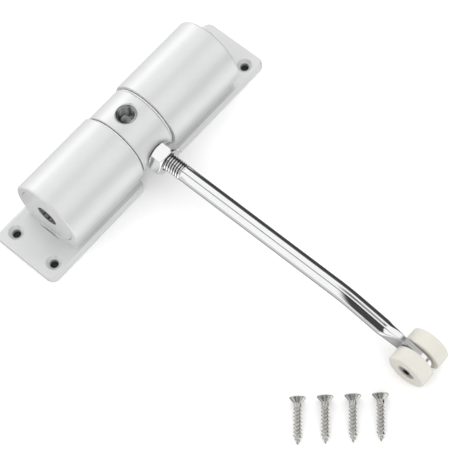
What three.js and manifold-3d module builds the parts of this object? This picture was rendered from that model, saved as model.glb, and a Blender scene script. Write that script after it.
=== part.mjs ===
// Surface-mounted spring door closer with a roller arm, in millimetres, +Z up.
// The back of the flange lies in the plane Z = 0. X runs along the barrels, the arm points to -Y at
// rest, and the origin is the middle of the four fixing holes on the back.

import * as THREE from "three";
import { mergeVertices } from "three/addons/utils/BufferGeometryUtils.js";
import Module from "manifold-3d";

const wasm = await Module();
wasm.setup();

// Driving dimensions

const CLEARANCE = 0.3; // free gap between two pieces that touch or run on each other
const PAST = 1; // how far a cutter runs past the face it opens
// Facets round each kind of turned piece
const SEGMENTS = { pin: 12, screw: 16, rod: 20, shaft: 24, barrel: 36, roller: 40, rim: 48 };

const FLANGE_LENGTH = 142;
const FLANGE_WIDTH = 35;
const FLANGE_THICKNESS = 3;
const FLANGE_CORNER_RADIUS = 3.5;
const FLANGE_SLOPE_WIDTH = 1.3; // slope along both long edges of the flange
const FLANGE_SLOPE_DROP = 1.04;
const FIXING_HOLE_SPACING_X = 127.6;
const FIXING_HOLE_SPACING_Y = 22.6;
const FIXING_HOLE_RADIUS = 1.8;
const COUNTERSINK_RADIUS = 3.6;

const AXIS_HEIGHT = 17.2; // spindle centre above the back of the flange
const BARREL_RADIUS = 17.5;
const BARREL_BASE_WIDTH = 26; // where the straight sides of a barrel meet the flange
const BARREL_INNER_X = 10.4;
const BARREL_OUTER_X = 53.4;
const BARREL_CHAMFER = 0.9;
const SPRING_CHAMBER_RADIUS = 13.3;
const BEARING_WALL = 4;
const CAP_RADIUS = 13.9;
const CAP_THICKNESS = 3.8;
const CAP_SPIGOT_RADIUS = 11.9; // where the sleeve of the right cap passes through its disc

const DRUM_RADIUS = 16.6;
const DRUM_HALF_WIDTH = 9.2;
const DRUM_CHAMFER = 0.4;
const HUB_RADIUS = 6.8;
const HUB_END_X = 14.2;
const ARM_HOLE_FLOOR = 8; // distance from the spindle centre to the floor of both tapped holes
const TAPPED_HOLE_RADIUS = 4.3;
const TAPPED_HOLE_CHAMFER = 0.6;
const BRIDGE_WIDTH = 8; // strip of flange behind the drum that joins the two halves
const NOTCH_CHAMFER = 2.4; // corners of the flange where the arm swings through

const BUSH_WALL = 1.9;
const BUSH_FLANGE_RADIUS = 15.9; // a thrust washer that fills the gap beside the drum
const SPINDLE_RADIUS = 5;
const SPINDLE_END_X = 46.5;
const DRUM_PIN_X = -6.6;
const DRUM_PIN_RADIUS = 1.5;
const DRUM_PIN_HALF_LENGTH = 8;

const SPRING_WIRE_RADIUS = 1.5;
const SPRING_COIL_RADIUS = 10.2;
const SPRING_TURNS = 7;
const SPRING_STEPS_PER_TURN = 16;
const SPRING_INNER_TANG_RADIUS = 1.8; // where the inner tang ends inside the spindle
const SPRING_INNER_TANG_X = 17.5;
const SPRING_OUTER_TANG_X = 41.5;
const ANCHOR_RADIUS = 7.3; // sleeve round the spindle end that holds a spring's outer tang
const ANCHOR_INNER_X = 38;
const ANCHOR_SHOULDER_RADIUS = 11;
const ADJUSTER_FACE_RADIUS = 4.9;
const ADJUSTER_SOCKET_ACROSS_FLATS = 5;
const ADJUSTER_SOCKET_DEPTH = 3.2;

const ROD_RADIUS = 3.75;
const THREAD_RADIUS = 4;
const THREAD_LEAD = 0.6; // chamfer at the start of the thread
const THREAD_END = 31.5; // all arm lengths are measured along the arm from the spindle centre
const BEND_START = 116;
const BEND_RADIUS = 60;
const BEND_ANGLE = THREE.MathUtils.degToRad(11.5);
const AXLE_ALONG_ARM = 161.2;
const TAB_THICKNESS = 2.6;
const TAB_WIDTH = 12.5;
const TAB_FLAT_LENGTH = 9;
const TAB_TAPER_LENGTH = 11;
const TAB_SKIN = 0.05; // how far the pressed bar lies inside the eye where they overlap
const NUT_ACROSS_FLATS = 13;
const NUT_THICKNESS = 6.5;
const NUT_FACE_INSET = 0.1; // of the round face inside the flats
const NUT_TURN = THREE.MathUtils.degToRad(-10); // of its upper flat, about the arm

const ROLLER_RADIUS = 9;
const ROLLER_WIDTH = 7.2;
const ROLLER_EDGE_RADIUS = 0.9;
const AXLE_RADIUS = 2.4;
const AXLE_HEAD_RADIUS = 3.2;
const AXLE_HEAD_THICKNESS = 0.8;
const AXLE_HEAD_CHAMFER = 0.25;
const AXLE_HOLLOW_RADIUS = 1.5;
const AXLE_HOLLOW_DEPTH = 3.5;
const HUB_RECESS_RADIUS = 4; // in the outer face of each roller
const HUB_RECESS_DEPTH = 1.4;

const SCREW_COUNT = 4;
const SCREW_LENGTH = 20;
const SCREW_HEAD_RADIUS = 3.5;
const SCREW_HEAD_CONE = 2.1;
const SCREW_HEAD_RIM = 0.35;
const SCREW_SHANK_RADIUS = 1.5;
const SCREW_TIP_LENGTH = 3.5;
const SCREW_TIP_RADIUS = 0.2;
const SCREW_CROSS_DEPTH = 1.6;
const SCREW_CROSS_LENGTH = 3.8;
const SCREW_CROSS_WIDTH = 0.9;
const SCREW_ROW_START = new THREE.Vector2(-51.5, -138.2); // middle of the first loose screw
const SCREW_ROW_END = new THREE.Vector2(-28.4, -163.5);
const SCREW_HEADING = new THREE.Vector2(-0.77, -0.64).normalize(); // from a head to its tip

// Finishes

const finish = (name, color, roughness, metalness) =>
  new THREE.MeshStandardMaterial({ name, color, roughness, metalness });
const silverPaint = () => finish("silver_paint", 0xe4e6e8, 0.42, 0.15);
const bareSteel = () => finish("bare_steel", 0xb9bbbd, 0.35, 1);
const chromedSteel = () => finish("chromed_steel", 0xd7d9db, 0.12, 1);
const platedSteel = () => finish("plated_steel", 0xc4c3bc, 0.3, 1);
const springSteel = () => finish("spring_steel", 0x56585c, 0.45, 1);
const blackSteel = () => finish("black_steel", 0x1a1a1c, 0.4, 0.7);
const bushNylon = () => finish("bush_nylon", 0xd9d7cf, 0.55, 0);
const rollerNylon = () => finish("roller_nylon", 0xe9e5d8, 0.5, 0);

// Solids

function toSolid(geometry) {
  const bare = geometry.clone();
  bare.deleteAttribute("normal");
  bare.deleteAttribute("uv");
  const merged = mergeVertices(bare, 1e-4);
  return new wasm.Manifold(
    new wasm.Mesh({
      numProp: 3,
      vertProperties: new Float32Array(merged.attributes.position.array),
      triVerts: new Uint32Array(merged.index.array),
    }),
  );
}

function toGeometry(solid) {
  const mesh = solid.getMesh();
  const geometry = new THREE.BufferGeometry();
  geometry.setAttribute("position", new THREE.BufferAttribute(new Float32Array(mesh.vertProperties), 3));
  geometry.setIndex(new THREE.BufferAttribute(new Uint32Array(mesh.triVerts), 1));
  geometry.computeVertexNormals();
  return geometry;
}

const joined = (solids) => solids.reduce((whole, piece) => whole.add(piece));
const cutBy = (solid, cutters) => cutters.reduce((rest, cutter) => rest.subtract(cutter), solid);

// A turned solid on the X axis. The profile lists [radius, x] corners from low x to high x.
function turnedOnX(profile, segments = SEGMENTS.barrel) {
  const corners = profile.map(([radius, x]) => new THREE.Vector2(radius, x));
  return new THREE.LatheGeometry(corners, segments).rotateZ(-Math.PI / 2);
}

const discOnX = (radius, lowX, highX, segments = SEGMENTS.barrel) =>
  turnedOnX([[0, lowX], [radius, lowX], [radius, highX], [0, highX]], segments);

// A section drawn in the Y-Z plane and carried along X from lowX to highX.
const sectionToX = new THREE.Matrix4().makeBasis(
  new THREE.Vector3(0, 1, 0),
  new THREE.Vector3(0, 0, 1),
  new THREE.Vector3(1, 0, 0),
);

function sectionAlongX(shape, lowX, highX, chamfer = 0) {
  const geometry = new THREE.ExtrudeGeometry(shape, {
    depth: highX - lowX - 2 * chamfer,
    bevelEnabled: chamfer > 0,
    bevelThickness: chamfer,
    bevelSize: chamfer,
    bevelOffset: -chamfer,
    bevelSegments: 1,
    curveSegments: 24,
  });
  return geometry.translate(0, 0, lowX + chamfer).applyMatrix4(sectionToX);
}

function hexagon(acrossFlats) {
  const corner = acrossFlats / 2 / Math.cos(Math.PI / 6);
  const points = Array.from({ length: 6 }, (_, side) => {
    const turn = (side * Math.PI) / 3;
    return new THREE.Vector2(corner * Math.cos(turn), corner * Math.sin(turn));
  });
  return new THREE.Shape(points);
}

const onSpindle = (geometry) => geometry.translate(0, 0, AXIS_HEIGHT);

// The same turned piece facing the other end of the closer.
const toOtherEnd = (geometry) => geometry.rotateZ(Math.PI);

// Housing: flange with fixing holes and two barrels, one casting

function flangeOutline() {
  const endX = FLANGE_LENGTH / 2;
  const sideY = FLANGE_WIDTH / 2;
  const radius = FLANGE_CORNER_RADIUS;
  const quarter = Math.PI / 2;
  const outline = new THREE.Shape();
  outline.moveTo(BARREL_INNER_X + NOTCH_CHAMFER, -sideY);
  outline.lineTo(endX - radius, -sideY);
  outline.absarc(endX - radius, -sideY + radius, radius, -quarter, 0);
  outline.absarc(endX - radius, sideY - radius, radius, 0, quarter);
  outline.absarc(-endX + radius, sideY - radius, radius, quarter, 2 * quarter);
  outline.absarc(-endX + radius, -sideY + radius, radius, 2 * quarter, 3 * quarter);
  outline.lineTo(-BARREL_INNER_X - NOTCH_CHAMFER, -sideY);
  outline.lineTo(-BARREL_INNER_X, -sideY + NOTCH_CHAMFER);
  outline.lineTo(-BARREL_INNER_X, sideY - BRIDGE_WIDTH);
  outline.lineTo(BARREL_INNER_X, sideY - BRIDGE_WIDTH);
  outline.lineTo(BARREL_INNER_X, -sideY + NOTCH_CHAMFER);
  return outline;
}

function flangeSection() {
  const sideY = FLANGE_WIDTH / 2;
  const slopeStart = sideY - FLANGE_SLOPE_WIDTH;
  const slopeFoot = FLANGE_THICKNESS - FLANGE_SLOPE_DROP;
  return new THREE.Shape([
    new THREE.Vector2(-sideY, 0),
    new THREE.Vector2(sideY, 0),
    new THREE.Vector2(sideY, slopeFoot),
    new THREE.Vector2(slopeStart, FLANGE_THICKNESS),
    new THREE.Vector2(-slopeStart, FLANGE_THICKNESS),
    new THREE.Vector2(-sideY, slopeFoot),
  ]);
}

// A round top with straight sides that leave it at a tangent and lean in to the flange.
function barrelSection() {
  const halfBase = BARREL_BASE_WIDTH / 2;
  const axisAboveFlange = AXIS_HEIGHT - FLANGE_THICKNESS;
  const toCorner = Math.hypot(halfBase, axisAboveFlange);
  const tangent = Math.acos(BARREL_RADIUS / toCorner) - Math.atan2(axisAboveFlange, halfBase);
  const sunk = FLANGE_THICKNESS / 2;
  const section = new THREE.Shape();
  section.moveTo(-halfBase, FLANGE_THICKNESS - sunk);
  section.lineTo(halfBase, FLANGE_THICKNESS - sunk);
  section.lineTo(halfBase, FLANGE_THICKNESS);
  section.absarc(0, AXIS_HEIGHT, BARREL_RADIUS, tangent, Math.PI - tangent);
  section.lineTo(-halfBase, FLANGE_THICKNESS);
  return section;
}

function fixingHoleCutters() {
  const sinkFloor = FLANGE_THICKNESS - (COUNTERSINK_RADIUS - FIXING_HOLE_RADIUS);
  const profile = [
    [0, -PAST],
    [FIXING_HOLE_RADIUS, -PAST],
    [FIXING_HOLE_RADIUS, sinkFloor],
    [COUNTERSINK_RADIUS + PAST, FLANGE_THICKNESS + PAST],
    [0, FLANGE_THICKNESS + PAST],
  ].map(([radius, z]) => new THREE.Vector2(radius, z));
  const cutters = [];
  for (const signX of [-1, 1]) {
    for (const signY of [-1, 1]) {
      const cutter = new THREE.LatheGeometry(profile, SEGMENTS.rod).rotateX(Math.PI / 2);
      cutter.translate((signX * FIXING_HOLE_SPACING_X) / 2, (signY * FIXING_HOLE_SPACING_Y) / 2, 0);
      cutters.push(toSolid(cutter));
    }
  }
  return cutters;
}

// Bearing hole, spring chamber and cap seat of the barrel on the +X side.
function barrelBore() {
  const bearingRadius = HUB_RADIUS + BUSH_WALL + 2 * CLEARANCE;
  const chamberStart = BARREL_INNER_X + BEARING_WALL;
  const seatFloor = BARREL_OUTER_X - CAP_THICKNESS - CLEARANCE;
  return onSpindle(
    turnedOnX([
      [0, BARREL_INNER_X - PAST],
      [bearingRadius, BARREL_INNER_X - PAST],
      [bearingRadius, chamberStart],
      [SPRING_CHAMBER_RADIUS, chamberStart],
      [SPRING_CHAMBER_RADIUS, seatFloor],
      [CAP_RADIUS + CLEARANCE, seatFloor],
      [CAP_RADIUS + CLEARANCE, BARREL_OUTER_X + PAST],
      [0, BARREL_OUTER_X + PAST],
    ]),
  );
}

function housing() {
  const plan = new THREE.ExtrudeGeometry(flangeOutline(), {
    depth: FLANGE_THICKNESS + 2 * PAST,
    bevelEnabled: false,
    curveSegments: 8,
  }).translate(0, 0, -PAST);
  const halfLength = FLANGE_LENGTH / 2 + PAST;
  const flange = toSolid(plan).intersect(toSolid(sectionAlongX(flangeSection(), -halfLength, halfLength)));
  const barrel = () => sectionAlongX(barrelSection(), BARREL_INNER_X, BARREL_OUTER_X, BARREL_CHAMFER);
  const barrels = [toSolid(barrel()), toSolid(toOtherEnd(barrel()))];
  const bores = [toSolid(barrelBore()), toSolid(toOtherEnd(barrelBore()))];
  return toGeometry(cutBy(joined([flange, ...barrels]), [...bores, ...fixingHoleCutters()]));
}

// Bearings and caps

function bush() {
  const hole = HUB_RADIUS + CLEARANCE;
  const outer = hole + BUSH_WALL;
  const flangeLow = DRUM_HALF_WIDTH + CLEARANCE;
  const flangeHigh = BARREL_INNER_X - CLEARANCE;
  return onSpindle(
    turnedOnX([
      [hole, flangeLow],
      [BUSH_FLANGE_RADIUS, flangeLow],
      [BUSH_FLANGE_RADIUS, flangeHigh],
      [outer, flangeHigh],
      [outer, BARREL_INNER_X + BEARING_WALL],
      [hole, BARREL_INNER_X + BEARING_WALL],
      [hole, flangeLow],
    ]),
  );
}

const capInnerX = BARREL_OUTER_X - CAP_THICKNESS;

// Sleeve that takes the spindle end, with a slot for the outer tang of a spring.
function anchorSleeve(faceRadius, faceX) {
  const shoulderX = capInnerX - CLEARANCE;
  const boreEnd = SPINDLE_END_X + CLEARANCE;
  const bore = SPINDLE_RADIUS + CLEARANCE;
  const sleeve = toSolid(
    turnedOnX([
      [0, boreEnd],
      [bore, boreEnd],
      [bore, ANCHOR_INNER_X],
      [ANCHOR_RADIUS, ANCHOR_INNER_X],
      [ANCHOR_RADIUS, boreEnd - CLEARANCE],
      [ANCHOR_SHOULDER_RADIUS, boreEnd - CLEARANCE],
      [ANCHOR_SHOULDER_RADIUS, shoulderX],
      [faceRadius, shoulderX],
      [faceRadius, faceX],
      [0, faceX],
    ]),
  );
  const slotLow = ANCHOR_INNER_X - PAST;
  const slotHigh = SPRING_OUTER_TANG_X + SPRING_WIRE_RADIUS + CLEARANCE;
  const slotWidth = 2 * (SPRING_WIRE_RADIUS + CLEARANCE);
  const slot = new THREE.BoxGeometry(slotHigh - slotLow, slotWidth, ANCHOR_RADIUS + PAST);
  slot.translate((slotLow + slotHigh) / 2, 0, (ANCHOR_RADIUS + PAST) / 2);
  return sleeve.subtract(toSolid(slot));
}

function endCapRight() {
  const cap = toSolid(discOnX(CAP_RADIUS, capInnerX, BARREL_OUTER_X, SEGMENTS.rim));
  const sleeve = anchorSleeve(CAP_SPIGOT_RADIUS, BARREL_OUTER_X);
  return onSpindle(toGeometry(cap.add(sleeve)));
}

function endCapLeft() {
  const hole = ADJUSTER_FACE_RADIUS + CLEARANCE;
  const ring = turnedOnX(
    [
      [hole, capInnerX],
      [CAP_RADIUS, capInnerX],
      [CAP_RADIUS, BARREL_OUTER_X],
      [hole, BARREL_OUTER_X],
      [hole, capInnerX],
    ],
    SEGMENTS.rim,
  );
  return onSpindle(toOtherEnd(ring));
}

function tensionAdjuster() {
  const faceX = BARREL_OUTER_X - CLEARANCE;
  const key = hexagon(ADJUSTER_SOCKET_ACROSS_FLATS);
  const socket = sectionAlongX(key, faceX - ADJUSTER_SOCKET_DEPTH, faceX + PAST);
  const body = anchorSleeve(ADJUSTER_FACE_RADIUS, faceX).subtract(toSolid(socket));
  return onSpindle(toOtherEnd(toGeometry(body)));
}

// Drum, spindle and springs

function drum() {
  const rim = DRUM_RADIUS - DRUM_CHAMFER;
  const bore = SPINDLE_RADIUS + CLEARANCE;
  const half = DRUM_HALF_WIDTH;
  const body = turnedOnX(
    [
      [bore, -HUB_END_X],
      [HUB_RADIUS, -HUB_END_X],
      [HUB_RADIUS, -half],
      [rim, -half],
      [DRUM_RADIUS, -half + DRUM_CHAMFER],
      [DRUM_RADIUS, half - DRUM_CHAMFER],
      [rim, half],
      [HUB_RADIUS, half],
      [HUB_RADIUS, HUB_END_X],
      [bore, HUB_END_X],
      [bore, -HUB_END_X],
    ],
    SEGMENTS.rim,
  );
  const mouth = TAPPED_HOLE_RADIUS + TAPPED_HOLE_CHAMFER + PAST;
  const tappedHole = () =>
    new THREE.LatheGeometry(
      [
        [0, ARM_HOLE_FLOOR],
        [TAPPED_HOLE_RADIUS, ARM_HOLE_FLOOR],
        [TAPPED_HOLE_RADIUS, DRUM_RADIUS - TAPPED_HOLE_CHAMFER],
        [mouth, DRUM_RADIUS + PAST],
        [0, DRUM_RADIUS + PAST],
      ].map(([radius, depth]) => new THREE.Vector2(radius, depth)),
      SEGMENTS.shaft,
    );
  const armHole = tappedHole().rotateX(Math.PI);
  const spareHole = tappedHole().rotateX(Math.PI / 2);
  const pinHole = new THREE.CylinderGeometry(
    DRUM_PIN_RADIUS + CLEARANCE,
    DRUM_PIN_RADIUS + CLEARANCE,
    2 * (DRUM_PIN_HALF_LENGTH + CLEARANCE),
    SEGMENTS.pin,
  ).translate(DRUM_PIN_X, 0, 0);
  return onSpindle(toGeometry(cutBy(toSolid(body), [armHole, spareHole, pinHole].map(toSolid))));
}

function spindle() {
  const shaft = toSolid(discOnX(SPINDLE_RADIUS, -SPINDLE_END_X, SPINDLE_END_X, SEGMENTS.shaft));
  const pinHoleRadius = DRUM_PIN_RADIUS + CLEARANCE;
  const across = 2 * (SPINDLE_RADIUS + PAST);
  const pinHole = new THREE.CylinderGeometry(pinHoleRadius, pinHoleRadius, across, SEGMENTS.pin);
  const tangHoleRadius = SPRING_WIRE_RADIUS + CLEARANCE;
  const cutters = [pinHole.translate(DRUM_PIN_X, 0, 0)];
  for (const side of [-1, 1]) {
    const tangHole = new THREE.CylinderGeometry(tangHoleRadius, tangHoleRadius, across / 2, SEGMENTS.pin);
    tangHole.rotateX(Math.PI / 2).translate(side * SPRING_INNER_TANG_X, 0, across / 4);
    cutters.push(tangHole);
  }
  return onSpindle(toGeometry(cutBy(shaft, cutters.map(toSolid))));
}

function drumPin() {
  const length = 2 * DRUM_PIN_HALF_LENGTH;
  const pin = new THREE.CylinderGeometry(DRUM_PIN_RADIUS, DRUM_PIN_RADIUS, length, SEGMENTS.pin);
  return onSpindle(pin.translate(DRUM_PIN_X, 0, 0));
}

// Close-wound wire: a tang from the spindle, the coils, and a tang into the anchor sleeve.
class SpringWire extends THREE.Curve {
  getPoint(t, target = new THREE.Vector3()) {
    const innerTang = SPRING_COIL_RADIUS - SPRING_INNER_TANG_RADIUS;
    const outerTang = SPRING_COIL_RADIUS - SPINDLE_RADIUS - 2 * CLEARANCE;
    const coils = 2 * Math.PI * SPRING_COIL_RADIUS * SPRING_TURNS;
    const travelled = t * (innerTang + coils + outerTang);
    const alongCoils = THREE.MathUtils.clamp((travelled - innerTang) / coils, 0, 1);
    const turn = alongCoils * 2 * Math.PI * SPRING_TURNS;
    const x = THREE.MathUtils.lerp(SPRING_INNER_TANG_X, SPRING_OUTER_TANG_X, alongCoils);
    const inner = Math.max(0, innerTang - travelled);
    const outer = Math.max(0, travelled - innerTang - coils);
    const radius = SPRING_COIL_RADIUS - inner - outer;
    return target.set(x, radius * Math.sin(turn), radius * Math.cos(turn));
  }
}

function spring() {
  const wire = new THREE.Shape().absarc(0, 0, SPRING_WIRE_RADIUS, 0, 2 * Math.PI);
  return onSpindle(
    new THREE.ExtrudeGeometry(wire, {
      steps: SPRING_STEPS_PER_TURN * SPRING_TURNS,
      bevelEnabled: false,
      curveSegments: 3,
      extrudePath: new SpringWire(),
    }),
  );
}

// Arm: one bar, threaded at the drum, bent near the far end and pressed flat round the axle

// Centre and slope of the arm at a length from the spindle centre.
function armAt(length) {
  const turned = THREE.MathUtils.clamp((length - BEND_START) / BEND_RADIUS, 0, BEND_ANGLE);
  const before = Math.min(length, BEND_START);
  const after = Math.max(0, length - BEND_START - BEND_RADIUS * BEND_ANGLE);
  const forward = before + BEND_RADIUS * Math.sin(turned) + after * Math.cos(turned);
  const drop = BEND_RADIUS * (1 - Math.cos(turned)) + after * Math.sin(turned);
  return { y: -forward, z: AXIS_HEIGHT - drop, slope: turned };
}

const evenly = (from, to, count) =>
  Array.from({ length: count }, (_, i) => THREE.MathUtils.lerp(from, to, i / (count - 1)));

function armBar() {
  const flatStart = AXLE_ALONG_ARM - TAB_FLAT_LENGTH;
  const taperStart = flatStart - TAB_TAPER_LENGTH;
  const bendEnd = BEND_START + BEND_RADIUS * BEND_ANGLE;
  const stations = [
    THREAD_END - PAST,
    ...evenly(BEND_START, bendEnd, 6),
    ...evenly(taperStart, flatStart, 7),
    AXLE_ALONG_ARM,
  ];
  const bar = new THREE.CylinderGeometry(1, 1, 1, SEGMENTS.rod, stations.length - 1);
  const position = bar.attributes.position;
  for (let i = 0; i < position.count; i += 1) {
    const ring = Math.round((0.5 - position.getY(i)) * (stations.length - 1));
    const length = stations[ring];
    const flat = THREE.MathUtils.smoothstep(length, taperStart, flatStart);
    const halfThickness = THREE.MathUtils.lerp(ROD_RADIUS, TAB_THICKNESS / 2 - TAB_SKIN, flat);
    const halfWidth = THREE.MathUtils.lerp(ROD_RADIUS, TAB_WIDTH / 2 - TAB_SKIN, flat);
    const { y, z, slope } = armAt(length);
    const sideways = position.getX(i) * halfThickness;
    const upwards = position.getZ(i) * halfWidth;
    position.setXYZ(i, sideways, y - upwards * Math.sin(slope), z + upwards * Math.cos(slope));
  }
  return bar;
}

// Flat eye at the end of the arm, drawn along the arm and turned down with the bend.
function armTab() {
  const half = TAB_WIDTH / 2;
  const eye = new THREE.Shape();
  eye.moveTo(-TAB_FLAT_LENGTH, -half);
  eye.lineTo(0, -half);
  eye.absarc(0, 0, half, -Math.PI / 2, Math.PI / 2);
  eye.lineTo(-TAB_FLAT_LENGTH, half);
  const hole = AXLE_RADIUS + CLEARANCE;
  eye.holes.push(new THREE.Path().absarc(0, 0, hole, 0, 2 * Math.PI));
  const tab = new THREE.ExtrudeGeometry(eye, {
    depth: TAB_THICKNESS,
    bevelEnabled: false,
    curveSegments: 16,
  });
  const { y, z, slope } = armAt(AXLE_ALONG_ARM);
  const towardsTip = new THREE.Vector3(0, -Math.cos(slope), -Math.sin(slope));
  const upwards = new THREE.Vector3(0, -Math.sin(slope), Math.cos(slope));
  const sideways = new THREE.Vector3().crossVectors(towardsTip, upwards);
  tab.translate(0, 0, -TAB_THICKNESS / 2);
  return tab.applyMatrix4(new THREE.Matrix4().makeBasis(towardsTip, upwards, sideways)).translate(0, y, z);
}

const axleCentre = armAt(AXLE_ALONG_ARM);
const onAxle = (geometry) => geometry.translate(0, axleCentre.y, axleCentre.z);

function armRod() {
  const start = ARM_HOLE_FLOOR + CLEARANCE;
  const thread = new THREE.LatheGeometry(
    [
      [0, start],
      [THREAD_RADIUS - THREAD_LEAD, start],
      [THREAD_RADIUS, start + THREAD_LEAD],
      [THREAD_RADIUS, THREAD_END - THREAD_LEAD / 2],
      [ROD_RADIUS, THREAD_END],
      [0, THREAD_END],
    ].map(([radius, length]) => new THREE.Vector2(radius, length)),
    SEGMENTS.shaft,
  ).rotateX(Math.PI);
  const hole = discOnX(AXLE_RADIUS + CLEARANCE, -ROLLER_WIDTH, ROLLER_WIDTH, SEGMENTS.shaft);
  const bar = toSolid(armBar()).add(toSolid(onSpindle(thread))).add(toSolid(armTab()));
  return toGeometry(bar.subtract(toSolid(onAxle(hole))));
}

function lockNut() {
  const low = -NUT_THICKNESS / 2;
  const high = NUT_THICKNESS / 2;
  const corner = NUT_ACROSS_FLATS / 2 / Math.cos(Math.PI / 6);
  const flat = NUT_ACROSS_FLATS / 2 - NUT_FACE_INSET;
  const chamferRise = (corner - flat) * Math.tan(Math.PI / 6);
  const blank = toSolid(sectionAlongX(hexagon(NUT_ACROSS_FLATS), low, high));
  const chamfers = turnedOnX([
    [0, low],
    [flat, low],
    [corner, low + chamferRise],
    [corner, high - chamferRise],
    [flat, high],
    [0, high],
  ]);
  const bore = discOnX(THREAD_RADIUS + CLEARANCE, low - PAST, high + PAST, SEGMENTS.shaft);
  const nut = toGeometry(blank.intersect(toSolid(chamfers)).subtract(toSolid(bore)));
  const nutMiddle = DRUM_RADIUS + CLEARANCE + NUT_THICKNESS / 2;
  return onSpindle(nut.rotateZ(Math.PI / 2).rotateY(NUT_TURN).translate(0, -nutMiddle, 0));
}

// Rollers and their hollow rivet

const rollerInnerX = TAB_THICKNESS / 2 + CLEARANCE;
const rollerOuterX = rollerInnerX + ROLLER_WIDTH;

function roller() {
  const edge = ROLLER_EDGE_RADIUS;
  const corner = (centreX, from) =>
    evenly(from, from + Math.PI / 2, 3).map((turn) => [
      ROLLER_RADIUS - edge + edge * Math.sin(turn),
      centreX - edge * Math.cos(turn),
    ]);
  const hole = AXLE_RADIUS + CLEARANCE;
  const recessFloor = rollerOuterX - HUB_RECESS_DEPTH;
  return turnedOnX(
    [
      [hole, rollerInnerX],
      ...corner(rollerInnerX + edge, 0),
      ...corner(rollerOuterX - edge, Math.PI / 2),
      [HUB_RECESS_RADIUS, rollerOuterX],
      [HUB_RECESS_RADIUS, recessFloor],
      [hole, recessFloor],
      [hole, rollerInnerX],
    ],
    SEGMENTS.roller,
  );
}

function rollerAxle() {
  const headLow = rollerOuterX - HUB_RECESS_DEPTH + CLEARANCE;
  const headHigh = headLow + AXLE_HEAD_THICKNESS;
  const half = [
    [AXLE_RADIUS, headLow],
    [AXLE_HEAD_RADIUS, headLow],
    [AXLE_HEAD_RADIUS, headHigh - AXLE_HEAD_CHAMFER],
    [AXLE_HEAD_RADIUS - AXLE_HEAD_CHAMFER, headHigh],
    [AXLE_HOLLOW_RADIUS, headHigh],
    [AXLE_HOLLOW_RADIUS, headHigh - AXLE_HOLLOW_DEPTH],
    [0, headHigh - AXLE_HOLLOW_DEPTH],
  ];
  const otherHalf = half.map(([radius, x]) => [radius, -x]).reverse();
  return onAxle(turnedOnX([...otherHalf, ...half], SEGMENTS.shaft));
}

// Loose countersunk fixing screws, lying on the plane of the back with head rim and tip down

function fixingScrew(index) {
  const profile = [
    [0, 0],
    [SCREW_TIP_RADIUS, 0],
    [SCREW_SHANK_RADIUS, SCREW_TIP_LENGTH],
    [SCREW_SHANK_RADIUS, SCREW_LENGTH - SCREW_HEAD_RIM - SCREW_HEAD_CONE],
    [SCREW_HEAD_RADIUS, SCREW_LENGTH - SCREW_HEAD_RIM],
    [SCREW_HEAD_RADIUS, SCREW_LENGTH],
    [0, SCREW_LENGTH],
  ];
  const cross = [
    new THREE.BoxGeometry(2 * SCREW_CROSS_DEPTH, SCREW_CROSS_LENGTH, SCREW_CROSS_WIDTH),
    new THREE.BoxGeometry(2 * SCREW_CROSS_DEPTH, SCREW_CROSS_WIDTH, SCREW_CROSS_LENGTH),
  ].map((slot) => toSolid(slot.translate(SCREW_LENGTH, 0, 0)));
  const screw = toGeometry(cutBy(toSolid(turnedOnX(profile, SEGMENTS.screw)), cross));
  const lean = Math.asin((SCREW_HEAD_RADIUS - SCREW_SHANK_RADIUS) / (SCREW_LENGTH - SCREW_TIP_LENGTH));
  const middle = SCREW_ROW_START.clone().lerp(SCREW_ROW_END, index / (SCREW_COUNT - 1));
  screw.translate(-SCREW_LENGTH / 2, 0, 0).rotateY(-lean);
  screw.rotateZ(Math.atan2(-SCREW_HEADING.y, -SCREW_HEADING.x));
  screw.computeBoundingBox();
  return screw.translate(middle.x, middle.y, -screw.boundingBox.min.z);
}

// Assembly

const closer = new THREE.Group();

function addPart(name, geometry, material) {
  const mesh = new THREE.Mesh(geometry, material);
  mesh.name = name;
  closer.add(mesh);
}

addPart("housing", housing(), silverPaint());
addPart("end_cap_left", endCapLeft(), silverPaint());
addPart("end_cap_right", endCapRight(), silverPaint());
addPart("bush_left", toOtherEnd(bush()), bushNylon());
addPart("bush_right", bush(), bushNylon());
addPart("tension_adjuster", tensionAdjuster(), blackSteel());
addPart("spring_left", toOtherEnd(spring()), springSteel());
addPart("spring_right", spring(), springSteel());

addPart("drum", drum(), silverPaint());
addPart("spindle", spindle(), bareSteel());
addPart("drum_pin", drumPin(), bareSteel());
addPart("arm_rod", armRod(), chromedSteel());
addPart("lock_nut", lockNut(), chromedSteel());
addPart("roller_axle", rollerAxle(), chromedSteel());
addPart("roller_front", onAxle(toOtherEnd(roller())), rollerNylon());
addPart("roller_rear", onAxle(roller()), rollerNylon());

for (let index = 0; index < SCREW_COUNT; index += 1) {
  addPart(`fixing_screw_${index + 1}`, fixingScrew(index), platedSteel());
}

export default closer;
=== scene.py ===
"""Looks of a surface-mounted spring door closer with a roller arm, in metres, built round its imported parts.

X runs along the spring barrels, the arm points to -Y at rest, and the back of the flange lies at Z = 0.
"""

import math

import bmesh
import bpy
import numpy as np
from mathutils import Matrix, Vector


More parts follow.
